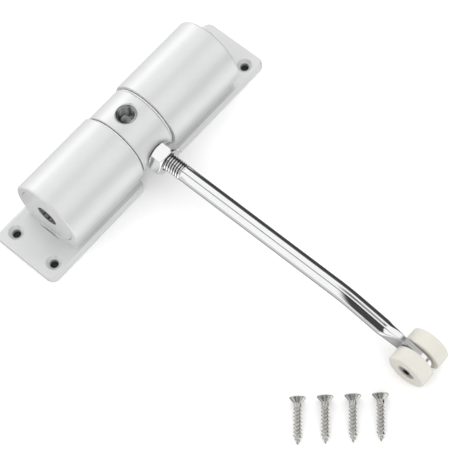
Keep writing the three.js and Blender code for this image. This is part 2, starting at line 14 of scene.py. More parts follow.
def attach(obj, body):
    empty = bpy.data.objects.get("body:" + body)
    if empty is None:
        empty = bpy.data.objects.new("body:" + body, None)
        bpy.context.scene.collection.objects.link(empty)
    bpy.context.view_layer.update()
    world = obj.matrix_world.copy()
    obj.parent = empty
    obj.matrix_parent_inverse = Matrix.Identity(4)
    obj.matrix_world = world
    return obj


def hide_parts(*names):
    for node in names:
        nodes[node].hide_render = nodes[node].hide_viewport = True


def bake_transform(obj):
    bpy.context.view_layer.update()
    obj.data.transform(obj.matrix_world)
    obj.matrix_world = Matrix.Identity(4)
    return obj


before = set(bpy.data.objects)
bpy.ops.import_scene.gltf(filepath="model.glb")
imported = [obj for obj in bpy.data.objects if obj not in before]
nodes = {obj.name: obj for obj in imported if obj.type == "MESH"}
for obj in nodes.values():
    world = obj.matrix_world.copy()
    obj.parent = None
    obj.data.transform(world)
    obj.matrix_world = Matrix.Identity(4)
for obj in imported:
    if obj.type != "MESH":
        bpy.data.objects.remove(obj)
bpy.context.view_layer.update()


# Housing
# A zinc die casting: a flange with countersunk screw holes and, in one piece with it, the shells of two
# spring barrels. The barrels are bored from their outer ends, a notch under the drum lets the arm swing,
# and the whole casting is sprayed with a satin silver-white paint.

MM = 0.001  # sizes are written in millimetres and enter the meshes through this factor
MERGE_DISTANCE = 0.0005

AXIS_HEIGHT = 17.2
FLANGE_SIZE = np.array([142.0, 35.0])
FLANGE_THICKNESS = 3.0
FLANGE_CORNER = 3.5
SLOPE_WIDTH = 1.3
SLOPE_DROP = 1.04
FIXING_HOLE_PLACES = np.array([127.6, 22.6]) / 2
FIXING_HOLE_RADIUS = 1.8
COUNTERSINK_RADIUS = 3.6
BARREL_RADIUS = 17.5
BARREL_HALF_BASE = 13.0
BARREL_ENDS = (10.4, 53.4)
FOOT_FILLET = 0.8
BRIDGE_WIDTH = 8.0
NOTCH_CHAMFER = 2.4
BEARING_BORE = 9.3
SPRING_BORE = 13.3
CAP_SEAT_BORE = 14.2
CAP_SEAT_DEPTH = 4.1


def make_piece(name, points, faces):
    """A mesh object from points in millimetres and faces given as lists of point numbers, all facing out."""
    mesh = bpy.data.meshes.new(name)
    mesh.from_pydata((np.asarray(points) * MM).tolist(), [], faces)
    work = bmesh.new()
    work.from_mesh(mesh)
    bmesh.ops.remove_doubles(work, verts=work.verts, dist=MERGE_DISTANCE * MM)
    bmesh.ops.recalc_face_normals(work, faces=work.faces)
    work.to_mesh(mesh)
    work.free()
    piece = bpy.data.objects.new(name, mesh)
    bpy.context.scene.collection.objects.link(piece)
    return piece


def joined_rings(name, rings, endless=False):
    """Rings of points, as an array of rings by points by 3, joined ring to ring by quads.

    The first and last ring are each closed by one flat face, or joined to each other where endless is true.
    """
    count, size = rings.shape[:2]
    ring = np.arange(count if endless else count - 1)[:, None]
    point = np.arange(size)[None, :]
    next_ring = (ring + 1) % count
    next_point = (point + 1) % size
    near, far = ring * size, next_ring * size
    corners = [near + point, near + next_point, far + next_point, far + point]
    faces = np.stack(corners, axis=-1).reshape(-1, 4).tolist()
    if not endless:
        faces += [list(range(size)), list(range((count - 1) * size, count * size))]
    return make_piece(name, rings.reshape(-1, 3), faces)


def rounded(corners, radii, steps=5, closed=False):
    """A line through 2-D corners with each corner replaced by an arc.

    An arc touches both sides of its corner at radius / tan(half the corner's angle), and its points are the
    circular blend sin((1 - s) a) u + sin(s a) v, over sin a, of the spokes u and v to those two contacts.
    """
    corners = np.asarray(corners, float)
    middle = corners if closed else corners[1:-1]
    before = np.roll(corners, 1, axis=0) if closed else corners[:-2]
    after = np.roll(corners, -1, axis=0) if closed else corners[2:]
    to_before = (before - middle) / np.linalg.norm(before - middle, axis=1, keepdims=True)
    to_after = (after - middle) / np.linalg.norm(after - middle, axis=1, keepdims=True)
    half = np.arccos(np.clip((to_before * to_after).sum(axis=1), -1, 1)) / 2
    radius = np.broadcast_to(np.asarray(radii, float), half.shape)
    reach = (radius / np.tan(half))[:, None]
    bisector = to_before + to_after
    bisector /= np.linalg.norm(bisector, axis=1, keepdims=True)
    centre = middle + bisector * (radius / np.sin(half))[:, None]
    first_spoke = middle + to_before * reach - centre
    last_spoke = middle + to_after * reach - centre
    sweep = (math.pi - 2 * half)[:, None, None]
    share = np.linspace(0, 1, steps)[None, :, None]
    arcs = np.sin((1 - share) * sweep) * first_spoke[:, None] + np.sin(share * sweep) * last_spoke[:, None]
    points = (centre[:, None] + arcs / np.sin(sweep)).reshape(-1, 2)
    return points if closed else np.concatenate([corners[:1], points, corners[-1:]])


def outward_normals(outline):
    """Unit normals of a closed counter-clockwise outline: the mean direction of both sides, turned right."""
    along = np.roll(outline, -1, axis=0) - np.roll(outline, 1, axis=0)
    normals = np.stack([along[:, 1], -along[:, 0]], axis=1)
    return normals / np.linalg.norm(normals, axis=1, keepdims=True)


X_AXIS, Y_AXIS, Z_AXIS = np.eye(3)


def turned(name, profile, axis=X_AXIS, origin=(0, 0, AXIS_HEIGHT), size=128, endless=False):
    """A profile of (radius, distance) corners turned round an axis through origin.

    A point is origin + distance * axis + radius * (cos a * side + sin a * top), with a going once round.
    """
    side = Y_AXIS if abs(axis[1]) < 0.5 else Z_AXIS
    top = np.cross(axis, side)
    angle = np.linspace(0, 2 * math.pi, size, endpoint=False)
    spokes = np.cos(angle)[:, None] * side + np.sin(angle)[:, None] * top
    radius, distance = np.asarray(profile, float).T
    rings = np.asarray(origin) + distance[:, None, None] * axis + radius[:, None, None] * spokes
    return joined_rings(name, rings, endless)


def shaped(piece, operation, tools):
    """Joins tools to a piece, or cuts them out of it, and bakes the result into the piece's mesh."""
    for tool in tools:
        change = piece.modifiers.new("shape", "BOOLEAN")
        change.operation = operation
        change.solver = "MANIFOLD"
        change.object = tool
    baked(piece)
    for tool in tools:
        bpy.data.objects.remove(tool)
    return piece


def baked(piece):
    """Writes what the modifiers make into the piece's own mesh."""
    bpy.context.view_layer.update()
    evaluated = piece.evaluated_get(bpy.context.evaluated_depsgraph_get())
    mesh = bpy.data.meshes.new_from_object(evaluated)
    piece.modifiers.clear()
    piece.data = mesh
    mesh.name = piece.name
    return piece


def softened(piece, width, angle=35):
    """Rounds the sharp edges that a cut leaves and shades curved faces smooth while flat ones stay flat."""
    if width > 0:
        edge = piece.modifiers.new("edges", "BEVEL")
        edge.width = width * MM
        edge.segments = 2
        edge.limit_method = "ANGLE"
        edge.angle_limit = math.radians(angle)
        edge.use_clamp_overlap = True
        baked(piece)
    piece.data.shade_smooth()
    piece.data.set_sharp_from_angle(angle=math.radians(angle))
    even = piece.modifiers.new("flat faces lead", "WEIGHTED_NORMAL")
    even.keep_sharp = True
    return baked(piece)


def flange():
    """Rounded rectangle carried up an edge profile: outline - normal * inset, at the profile's height.

    The long sides slope in further than the ends, so inset and height blend between two profiles by the
    square of the outline normal's Y part.
    """
    x, y = FLANGE_SIZE / 2
    outline = rounded([(x, -y), (x, y), (-x, y), (-x, -y)], FLANGE_CORNER, steps=9, closed=True)
    normals = outward_normals(outline)
    top = FLANGE_THICKNESS
    last = (SLOPE_WIDTH + 0.5, top)
    long_side = rounded([(0.5, 0), (0, 0), (0, top - SLOPE_DROP), (SLOPE_WIDTH, top), last], 0.2)
    end_side = rounded([(0.5, 0), (0, 0), (0, top - 0.3), (0.3, top), last], 0.15)
    share = normals[None, :, 1:] ** 2
    rows = end_side[:, None] * (1 - share) + long_side[:, None] * share
    plan = outline[None] - normals[None] * rows[..., :1]
    return joined_rings("housing_visual", np.concatenate([plan, rows[..., 1:]], axis=-1))


def barrel(side):
    """Barrel section carried along X, moved in along its normals by the rounding at both ends.

    The section is a circle with straight sides that leave it at a tangent, lean in to the flange and end
    in a small fillet that is tangent to the side and to the flange's top.
    """
    above = AXIS_HEIGHT - FLANGE_THICKNESS
    to_foot = math.hypot(BARREL_HALF_BASE, above)
    tangent = math.acos(BARREL_RADIUS / to_foot) - math.atan2(above, BARREL_HALF_BASE)
    lean = math.pi / 2 + tangent
    foot = BARREL_HALF_BASE + FOOT_FILLET / math.tan(lean / 2)
    turn = np.linspace(tangent, math.pi - tangent, 97)
    circle = np.stack([np.cos(turn), np.sin(turn)], axis=1)
    bend = np.linspace(-math.pi / 2, -math.pi / 2 - (math.pi - lean), 7)
    spoke = np.stack([np.cos(bend), np.sin(bend)], axis=1)
    right = np.array([foot, FLANGE_THICKNESS + FOOT_FILLET]) + FOOT_FILLET * spoke
    mirror = np.array([-1, 1])
    sunk = FLANGE_THICKNESS / 2
    section = np.concatenate([
        [[foot, sunk]],
        right,
        [0, AXIS_HEIGHT] + BARREL_RADIUS * circle,
        right[::-1] * mirror,
        [[-foot, sunk]],
    ])
    normals = np.concatenate([[[0, 0]], -spoke, circle, -spoke[::-1] * mirror, [[0, 0]]])
    inner, outer = BARREL_ENDS
    rows = rounded([(1.2, inner), (0, inner), (0, outer), (1.2, outer)], [0.45, 0.9], steps=7)
    plan = section[None] - normals[None] * rows[:, None, :1]
    along = np.broadcast_to(side * rows[:, None, 1:], plan.shape[:2] + (1,))
    return joined_rings(f"barrel_{side}", np.concatenate([along, plan], axis=-1))


def barrel_bore(side):
    """Turned profile: the drum hub's bearing, the spring's chamber, the cap's seat and a flared mouth."""
    inner, outer = BARREL_ENDS
    seat = outer - CAP_SEAT_DEPTH
    profile = [
        (BEARING_BORE, inner - 1),
        (BEARING_BORE, inner + 4),
        (SPRING_BORE, inner + 4),
        (SPRING_BORE, seat),
        (CAP_SEAT_BORE, seat),
        (CAP_SEAT_BORE, outer - 0.3),
        (CAP_SEAT_BORE + 1.3, outer + 1),
    ]
    return turned(f"bore_{side}", np.array(profile) * [1, side])


def fixing_hole(side_x, side_y):
    """Turned profile of a screw hole with a 90 degree countersink, as deep as the two radii differ."""
    place = (*(FIXING_HOLE_PLACES * [side_x, side_y]), 0)
    sink_floor = FLANGE_THICKNESS - (COUNTERSINK_RADIUS - FIXING_HOLE_RADIUS)
    profile = [
        (FIXING_HOLE_RADIUS, -1),
        (FIXING_HOLE_RADIUS, sink_floor),
        (COUNTERSINK_RADIUS, FLANGE_THICKNESS),
        (COUNTERSINK_RADIUS + 0.8, FLANGE_THICKNESS + 0.8),
    ]
    return turned(f"hole_{side_x}_{side_y}", profile, Z_AXIS, place, size=64)


def arm_notch():
    """Outline of the slot with its flared mouth, carried straight up through the flange."""
    inner = BARREL_ENDS[0]
    front = FLANGE_SIZE[1] / 2
    outline = np.array([
        (-inner - NOTCH_CHAMFER - 1, -front - 1),
        (inner + NOTCH_CHAMFER + 1, -front - 1),
        (inner, -front + NOTCH_CHAMFER),
        (inner, front - BRIDGE_WIDTH),
        (-inner, front - BRIDGE_WIDTH),
        (-inner, -front + NOTCH_CHAMFER),
    ])
    levels = np.array([-1, FLANGE_THICKNESS + 1])
    rings = np.stack([np.column_stack([outline, np.full(len(outline), level)]) for level in levels])
    return joined_rings("notch", rings)


SIDES = (-1, 1)
housing = shaped(flange(), "UNION", [barrel(side) for side in SIDES])
cutters = [barrel_bore(side) for side in SIDES] + [arm_notch()]
cutters += [fixing_hole(side_x, side_y) for side_x in SIDES for side_y in SIDES]
softened(shaped(housing, "DIFFERENCE", cutters), 0.2)


class Signal:
    """A shader value. Arithmetic on it adds Math nodes, in either order, as 1 - mask or mask * 0.3."""

    def __init__(self, shading, socket):
        self.shading = shading
        self.socket = socket

    def maths(self, operation, *values):
        """Adds a Math node of this operation on these values."""
        return self.shading.node("ShaderNodeMath", {"operation": operation}, values)

    def __add__(self, other):
        return self.maths("ADD", self, other)

    def __radd__(self, other):
        return self.maths("ADD", other, self)

    def __sub__(self, other):
        return self.maths("SUBTRACT", self, other)

    def __rsub__(self, other):
        return self.maths("SUBTRACT", other, self)

    def __mul__(self, other):
        return self.maths("MULTIPLY", self, other)

    def __rmul__(self, other):
        return self.maths("MULTIPLY", other, self)

    def __abs__(self):
        return self.maths("ABSOLUTE", self)


class Shading:
    """The nodes of one material or world while they are put together."""

    def __init__(self, tree):
        self.tree = tree

    def node(self, kind, settings=None, values=(), output=0):
        """Adds a node: its settings first, then its sockets by name or place, and returns one output."""
        made = self.tree.nodes.new(kind)
        for name, setting in (settings or {}).items():
            setattr(made, name, setting)
        for socket, value in values.items() if isinstance(values, dict) else enumerate(values):
            if isinstance(value, Signal):
                self.tree.links.new(value.socket, made.inputs[socket])
            else:
                made.inputs[socket].default_value = value
        return Signal(self, made.outputs[output])

    def noise(self, place, scale, detail=2.0):
        """Cloudy variation from 0 to 1 with about scale spots a metre."""
        return self.node("ShaderNodeTexNoise", None, {"Vector": place, "Scale": scale, "Detail": detail})

    def smooth(self, value, low, high):
        """0 below low, 1 above high, and the smooth cubic step between."""
        limits = {"Value": value, "From Min": low, "From Max": high}
        return self.node("ShaderNodeMapRange", {"interpolation_type": "SMOOTHSTEP"}, limits)

    def parts(self, vector, *places):
        """The parts of a vector by place: 0 for X, 1 for Y and 2 for Z."""
        return [self.node("ShaderNodeSeparateXYZ", None, [vector], place) for place in places]

    def length(self, first, second):
        """Length of the vector that has these two parts: the root of the sum of their squares."""
        return first.maths("SQRT", first * first + second * second)

    def mixed(self, share, first, second):
        """A colour that goes from first to second as share goes from 0 to 1."""
        return self.node("ShaderNodeMix", {"data_type": "RGBA"}, {0: share, 6: first, 7: second}, 2)

    def feed(self, socket, value):
        """Links a value to a socket of the shader."""
        self.tree.links.new(value.socket, self.tree.nodes["Principled BSDF"].inputs[socket])

    def relief(self, height, distance, strength=1.0):
        """Feeds a bump of this height field, distance millimetres deep, to the shader."""
        values = {"Height": height, "Distance": distance * MM, "Strength": strength}
        self.feed("Normal", self.node("ShaderNodeBump", None, values))


def new_material(name, constants):
    """A material, its nodes and the piece's own coordinates; constants go to the shader's sockets."""
    material = bpy.data.materials.new(name)
    material.use_nodes = True
    shader = material.node_tree.nodes["Principled BSDF"]
    for socket, value in constants.items():
        shader.inputs[socket].default_value = value
    shading = Shading(material.node_tree)
    return material, shading, shading.node("ShaderNodeTexCoord", output="Object")


def colour(red, green, blue):
    """An opaque colour from its linear parts."""
    return (red, green, blue, 1.0)


def from_fixing_hole(shading, place):
    """Distance from the nearest screw hole's middle, as the holes lie at plus and minus the same X and Y."""
    x, y = shading.parts(place, 0, 1)
    hole_x, hole_y = (float(value) * MM for value in FIXING_HOLE_PLACES)
    return shading.length(abs(x) - hole_x, abs(y) - hole_y)


def silver_paint():
    """Sprayed paint with fine aluminium flake: faint clouds, flake grain and the ripple of a sprayed coat.

    The screw holes' walls get painted shade: the colour darkens by a smooth step of the distance
    from the nearest hole's middle.
    """
    material, shading, place = new_material("silver_paint", {"Metallic": 0.42, "Coat Weight": 0.06})
    clouds = shading.noise(place, 55, 3)
    grain = shading.noise(place, 5200, 1)
    light = colour(0.69, 0.692, 0.694)
    dark = colour(0.545, 0.548, 0.553)
    from_hole = from_fixing_hole(shading, place)
    # painted shade: the walls of the screw holes are darkened towards near black
    hole_wall_painted_shade = 1 - shading.smooth(from_hole, (FIXING_HOLE_RADIUS + 0.1) * MM, (FIXING_HOLE_RADIUS + 0.4) * MM)
    coat = shading.mixed(clouds * 0.45 + grain * 0.35, light, dark)
    shading.feed("Base Color", shading.mixed(hole_wall_painted_shade * 0.85, coat, colour(0.1, 0.1, 0.1)))
    shading.feed("Roughness", 0.33 + 0.08 * clouds + 0.06 * grain)
    shading.relief(shading.noise(place, 700, 2) + grain * 0.25, 0.02, 0.5)
    return material


def finished(piece, body, slot, material, *replaced):
    """Gives a piece its material, the body it rides on and the solids it stands for; slot is not used."""
    piece.data.materials.clear()
    piece.data.materials.append(material)
    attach(piece, body)
    if replaced:
        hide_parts(*replaced)


paint = silver_paint()
finished(housing, "mounting", "silver_paint", paint, "housing")


# End caps
# Zinc discs pressed into the outer ends of the barrels and painted with the housing. The one at the
# adjuster's end is a ring, and the other carries the fixed sleeve that holds its spring's outer tang.

CAP_RADIUS = 14.05
CAP_FACE_X = 53.3
CAP_BACK_X = 49.6
ADJUSTER_HOLE = 5.2
SLEEVE_RADIUS = 7.3
SLEEVE_BORE = 5.3
SLEEVE_START_X = 38.0
SLEEVE_FLOOR_X = 46.8
SHOULDER_RADIUS = 11.0
SHOULDER_X = (46.5, 49.3)
TANG_SLOT_WIDTH = 3.6
TANG_SLOT_END_X = 43.3


def tang_slot(side):
    """Box above the axis that slots a sleeve for its spring's outer tang, open at the sleeve's inner end."""
    half = TANG_SLOT_WIDTH / 2
    high = AXIS_HEIGHT + SLEEVE_RADIUS + 1
    outline = np.array([(-half, AXIS_HEIGHT), (half, AXIS_HEIGHT), (half, high), (-half, high)])
    levels = side * np.array([SLEEVE_START_X - 1, TANG_SLOT_END_X])
    rings = np.stack([np.column_stack([np.full(len(outline), level), outline]) for level in levels])
    return joined_rings(f"slot_{side}", rings)


ring_corners = [
    (ADJUSTER_HOLE, CAP_BACK_X),
    (CAP_RADIUS, CAP_BACK_X),
    (CAP_RADIUS, CAP_FACE_X),
    (ADJUSTER_HOLE, CAP_FACE_X),
]
cap_ring = rounded(ring_corners, [0.2, 0.2, 0.35, 0.3], closed=True)
left_cap = turned("end_cap_left_visual", cap_ring * [1, -1], endless=True)
softened(left_cap, 0)
finished(left_cap, "mounting", "silver_paint", paint, "end_cap_left")

cap_and_sleeve = [
    (SLEEVE_BORE, SLEEVE_FLOOR_X),
    (SLEEVE_BORE, SLEEVE_START_X),
    (SLEEVE_RADIUS, SLEEVE_START_X),
    (SLEEVE_RADIUS, SHOULDER_X[0]),
    (SHOULDER_RADIUS, SHOULDER_X[0]),
    (SHOULDER_RADIUS, CAP_BACK_X),
    (CAP_RADIUS, CAP_BACK_X),
    (CAP_RADIUS, CAP_FACE_X),
    (1.0, CAP_FACE_X),
]
right_cap = turned("end_cap_right_visual", rounded(cap_and_sleeve, 0.3))
softened(shaped(right_cap, "DIFFERENCE", [tang_slot(1)]), 0)
finished(right_cap, "mounting", "silver_paint", paint, "end_cap_right")


# Tension adjuster
# A steel plug with a black oxide skin that turns in the left cap. A hexagon key in its socket winds the
# spring whose outer tang sits in the slot of its sleeve.

ADJUSTER_RADIUS = 4.9
ADJUSTER_FACE_X = 53.1
SOCKET_HALF_FLATS = 2.5
SOCKET_FLOOR_X = 49.9


def hexagon_factor(angle):
    """Distance to a hexagon's side over half its width: 1 / cos of the angle from the flat's middle."""
    sixth = math.pi / 3
    return 1 / np.cos((angle + sixth / 2) % sixth - sixth / 2)


def adjuster():
    """Turned profile whose socket rings are pulled out to a hexagon: radius * (1 + h * (factor - 1))."""
    corners = [
        (SLEEVE_BORE, SLEEVE_FLOOR_X),
        (SLEEVE_BORE, SLEEVE_START_X),
        (SLEEVE_RADIUS, SLEEVE_START_X),
        (SLEEVE_RADIUS, SHOULDER_X[0]),
        (SHOULDER_RADIUS, SHOULDER_X[0]),
        (SHOULDER_RADIUS, SHOULDER_X[1]),
        (ADJUSTER_RADIUS, SHOULDER_X[1]),
        (ADJUSTER_RADIUS, ADJUSTER_FACE_X),
        (SOCKET_HALF_FLATS + 0.4, ADJUSTER_FACE_X),
    ]
    outside = rounded(corners, 0.25)
    wall = np.linspace(ADJUSTER_FACE_X - 0.35, SOCKET_FLOOR_X, 6)
    socket = np.column_stack([np.full(6, SOCKET_HALF_FLATS), wall])
    profile = np.concatenate([outside, socket, [[0.4, SOCKET_FLOOR_X - 0.5]]])
    hexness = np.concatenate([np.zeros(len(outside) - 1), np.ones(len(socket) + 1), [0]])
    angle = np.linspace(0, 2 * math.pi, 96, endpoint=False)
    factor = 1 + hexness[:, None] * (hexagon_factor(angle)[None] - 1)
    radius = profile[:, :1] * factor
    along = np.broadcast_to(-profile[:, 1:], radius.shape)
    rings = np.stack([along, radius * np.cos(angle), AXIS_HEIGHT + radius * np.sin(angle)], axis=-1)
    return joined_rings("tension_adjuster_visual", rings)


def black_steel():
    """Black oxide on steel: near black, a little brown where it is thin, with a dull uneven sheen.

    The socket gets a painted highlight: a smooth step of the distance from the plug's axis lightens it.
    """
    material, shading, place = new_material("black_steel", {"Metallic": 0.4})
    patches = shading.noise(place, 900, 4)
    y, z = shading.parts(place, 1, 2)
    from_axis = shading.length(y, z - AXIS_HEIGHT * MM)
    # painted highlight: the socket is lightened towards grey, standing in for light caught inside it
    socket_painted_highlight = 1 - shading.smooth(from_axis, (SOCKET_HALF_FLATS - 0.1) * MM, (SOCKET_HALF_FLATS + 0.4) * MM)
    oxide = shading.mixed(patches, colour(0.01, 0.01, 0.012), colour(0.035, 0.032, 0.03))
    shading.feed("Base Color", shading.mixed(socket_painted_highlight * (0.35 + 0.5 * patches), oxide, colour(0.6, 0.6, 0.6)))
    shading.feed("Roughness", 0.28 + 0.22 * patches)
    shading.relief(shading.noise(place, 4000, 2), 0.01, 0.5)
    return material


tension_plug = adjuster()
softened(shaped(tension_plug, "DIFFERENCE", [tang_slot(-1)]), 0)
finished(tension_plug, "adjuster", "black_steel", black_steel(), "tension_adjuster")


# Bushes and springs
# Nylon flange bushes carry the drum's hubs in the barrel walls. A close-wound torsion spring of oiled
# drawn wire fills each barrel, from a hole in the spindle to the sleeve at the outer end.


def bush_nylon():
    """Moulded natural nylon, matt, with faint flow clouds."""
    constants = {"Subsurface Weight": 0.05, "Subsurface Scale": 0.001}
    material, shading, place = new_material("bush_nylon", constants)
    clouds = shading.noise(place, 300, 3)
    shading.feed("Base Color", shading.mixed(clouds, colour(0.8, 0.795, 0.78), colour(0.88, 0.875, 0.86)))
    shading.feed("Roughness", 0.5 + 0.12 * clouds)
    shading.relief(shading.noise(place, 2500, 2), 0.01, 0.4)
    return material


def spring_steel():
    """Oiled drawn wire: dark steel, blue-grey, with fine die lines round the coil and darker oil patches."""
    material, shading, place = new_material("spring_steel", {"Metallic": 1.0})
    oil = shading.noise(place, 120, 3)
    squeezed = shading.node("ShaderNodeMapping", None, {"Vector": place, "Scale": (9, 1, 1)})
    lines = shading.noise(squeezed, 700, 2)
    shading.feed("Base Color", shading.mixed(oil, colour(0.2, 0.21, 0.23), colour(0.34, 0.35, 0.37)))
    shading.feed("Roughness", 0.3 + 0.2 * oil)
    shading.relief(lines, 0.015, 0.5)
    return material


def painted_over(material, *names):
    """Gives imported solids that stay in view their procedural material."""
    for name in names:
        nodes[name].data.materials.clear()
        nodes[name].data.materials.append(material)


def wound_spring(name, material):
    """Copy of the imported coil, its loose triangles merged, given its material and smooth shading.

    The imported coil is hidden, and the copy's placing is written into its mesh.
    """
    coil = bpy.data.objects.new(f"{name}_visual", nodes[name].data.copy())
    bpy.context.scene.collection.objects.link(coil)
    work = bmesh.new()
    work.from_mesh(coil.data)
    bmesh.ops.remove_doubles(work, verts=work.verts, dist=MERGE_DISTANCE * MM)
    work.to_mesh(coil.data)
    work.free()
    coil.data.materials.clear()
    coil.data.materials.append(material)
    softened(coil, 0, angle=50)
    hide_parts(name)
    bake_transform(coil)


painted_over(bush_nylon(), "bush_left", "bush_right")
wire = spring_steel()
wound_spring("spring_left", wire)
wound_spring("spring_right", wire)


# Drum, with its spindle and pin
# The zinc drum turns with the arm on two hubs and is painted like the housing. A pin locks it to the
# steel spindle. Two holes at right angles are tapped M8 after painting, so they show bare metal.

DRUM_RADIUS = 16.6
DRUM_HALF_WIDTH = 9.2
HUB_RADIUS = 6.8
HUB_END_X = 14.2
THREAD_PITCH = 1.25
TAPPED_MAJOR_RADIUS = 4.3
TAPPED_DEPTH = 0.62
LINER_RADIUS = 4.8
HOLE_FLOOR = 8.2
LINER_RIM = math.sqrt(DRUM_RADIUS**2 - LINER_RADIUS**2)
HOLE_MOUTH = LINER_RIM - 0.1
TAPPED_HOLES = {"arm_hole_thread": -Y_AXIS, "spare_hole_thread": Z_AXIS}


def thread_wave(turns):
    """Height of a thread flank from 0 in the root to 1 on the crest, with short flats, once for each turn."""
    triangle = 1 - np.abs((turns % 1) * 2 - 1)
    return np.clip((triangle - 0.12) / 0.7, 0, 1)


def tapped_liner(name, axis):
    """Cup with a threaded wall: inner radius = major - depth * wave((distance - angle) / pitch).

    Rings run up the outside, over the mouth, down the threaded wall and in across the drilled floor.
    """
    wall = np.arange(HOLE_MOUTH - 0.3, HOLE_FLOOR + 0.4, -THREAD_PITCH / 9)
    outside = rounded([
        (0.3, HOLE_FLOOR - 0.9),
        (LINER_RADIUS, HOLE_FLOOR - 0.9),
        (LINER_RADIUS, HOLE_MOUTH),
        (TAPPED_MAJOR_RADIUS + 0.25, HOLE_MOUTH),
        (TAPPED_MAJOR_RADIUS, HOLE_MOUTH - 0.25),
    ], 0.1)
    floor = np.array([(3.3, HOLE_FLOOR), (0.3, HOLE_FLOOR - 0.6)])
    radius = np.concatenate([outside[:, 0], np.full(len(wall), TAPPED_MAJOR_RADIUS), floor[:, 0]])
    distance = np.concatenate([outside[:, 1], wall, floor[:, 1]])
    threaded = np.concatenate([np.zeros(len(outside)), np.ones(len(wall)), np.zeros(len(floor))])
    angle = np.linspace(0, 2 * math.pi, 96, endpoint=False)
    wave = thread_wave(distance[:, None] / THREAD_PITCH - angle[None] / (2 * math.pi))
    rings_radius = radius[:, None] - threaded[:, None] * TAPPED_DEPTH * wave
    top = np.cross(axis, X_AXIS)
    spokes = np.cos(angle)[:, None] * X_AXIS + np.sin(angle)[:, None] * top
    origin = AXIS_HEIGHT * Z_AXIS
    rings = origin + distance[:, None, None] * axis + rings_radius[..., None] * spokes[None]
    return joined_rings(name, rings)


def liner_seat(name, axis):
    """Turned profile of the hole that a liner fills, with a flare that breaks the edge at its mouth."""
    profile = [
        (LINER_RADIUS + 0.03, HOLE_FLOOR - 1),
        (LINER_RADIUS + 0.03, LINER_RIM - 0.05),
        (LINER_RADIUS + 0.45, LINER_RIM + 0.37),
        (LINER_RADIUS + 2.5, LINER_RIM + 2.4),
    ]
    return turned(name, profile, axis, size=96)


def drum():
    """Turned profile of the drum and its two hubs, hollow for the spindle, less the seats of both liners."""
    corners = [
        (SLEEVE_BORE, -HUB_END_X),
        (HUB_RADIUS, -HUB_END_X),
        (HUB_RADIUS, -DRUM_HALF_WIDTH),
        (DRUM_RADIUS, -DRUM_HALF_WIDTH),
        (DRUM_RADIUS, DRUM_HALF_WIDTH),
        (HUB_RADIUS, DRUM_HALF_WIDTH),
        (HUB_RADIUS, HUB_END_X),
        (SLEEVE_BORE, HUB_END_X),
    ]
    profile = rounded(corners, [0.2, 0.3, 0.3, 0.5, 0.5, 0.3, 0.3, 0.2], closed=True)
    body = turned("drum_visual", profile, size=192, endless=True)
    seats = [liner_seat(f"seat_of_{name}", axis) for name, axis in TAPPED_HOLES.items()]
    return shaped(body, "DIFFERENCE", seats)


def bare_steel():
    """Machined bare metal: grey, with a fine grain and a slightly greasy, uneven shine."""
    material, shading, place = new_material("bare_steel", {"Metallic": 1.0})
    smear = shading.noise(place, 500, 3)
    shading.feed("Base Color", shading.mixed(smear, colour(0.2, 0.205, 0.21), colour(0.42, 0.425, 0.43)))
    shading.feed("Roughness", 0.18 + 0.2 * smear)
    shading.relief(shading.noise(place, 3500, 2), 0.012, 0.5)
    return material


arm_drum = drum()
softened(arm_drum, 0)
finished(arm_drum, "arm", "silver_paint", paint, "drum")
machined = bare_steel()
for liner_name, hole_axis in TAPPED_HOLES.items():
    liner = tapped_liner(liner_name, hole_axis)
    softened(liner, 0, angle=50)
    finished(liner, "arm", "bare_steel", machined)
painted_over(machined, "spindle", "drum_pin")


# Arm
# One bright chromed steel bar. Its inner end has a rolled M8 thread that screws into the drum, and its
# outer end is bent towards the door and pressed into a flat upright eye for the roller axle.

ROD_RADIUS = 3.75
THREAD_RADIUS = 4.0
THREAD_START = 8.5
THREAD_END = 31.5
THREAD_ROOT_DEPTH = 0.62
BEND_START = 116.0
BEND_RADIUS = 60.0
BEND_ANGLE = math.radians(11.5)
AXLE_ALONG_ARM = 161.2
TAB_THICKNESS = 2.6
TAB_WIDTH = 12.5
PRESS_START = 141.2
FLAT_START = 152.2
AXLE_RADIUS = 2.4


def smooth_step(value, low, high):
    """0 below low, 1 above high, and s^2 (3 - 2 s) of the share s between."""
    share = np.clip((value - low) / (high - low), 0, 1)
    return share * share * (3 - 2 * share)


def arm_line(length):
    """Points along the arm's middle line, and its slope: straight, then an arc, then straight again."""
    slope = np.clip((length - BEND_START) / BEND_RADIUS, 0, BEND_ANGLE)
    past = np.maximum(0, length - BEND_START - BEND_RADIUS * BEND_ANGLE)
    forward = np.minimum(length, BEND_START) + BEND_RADIUS * np.sin(slope) + past * np.cos(slope)
    drop = BEND_RADIUS * (1 - np.cos(slope)) + past * np.sin(slope)
    return -forward, AXIS_HEIGHT - drop, slope


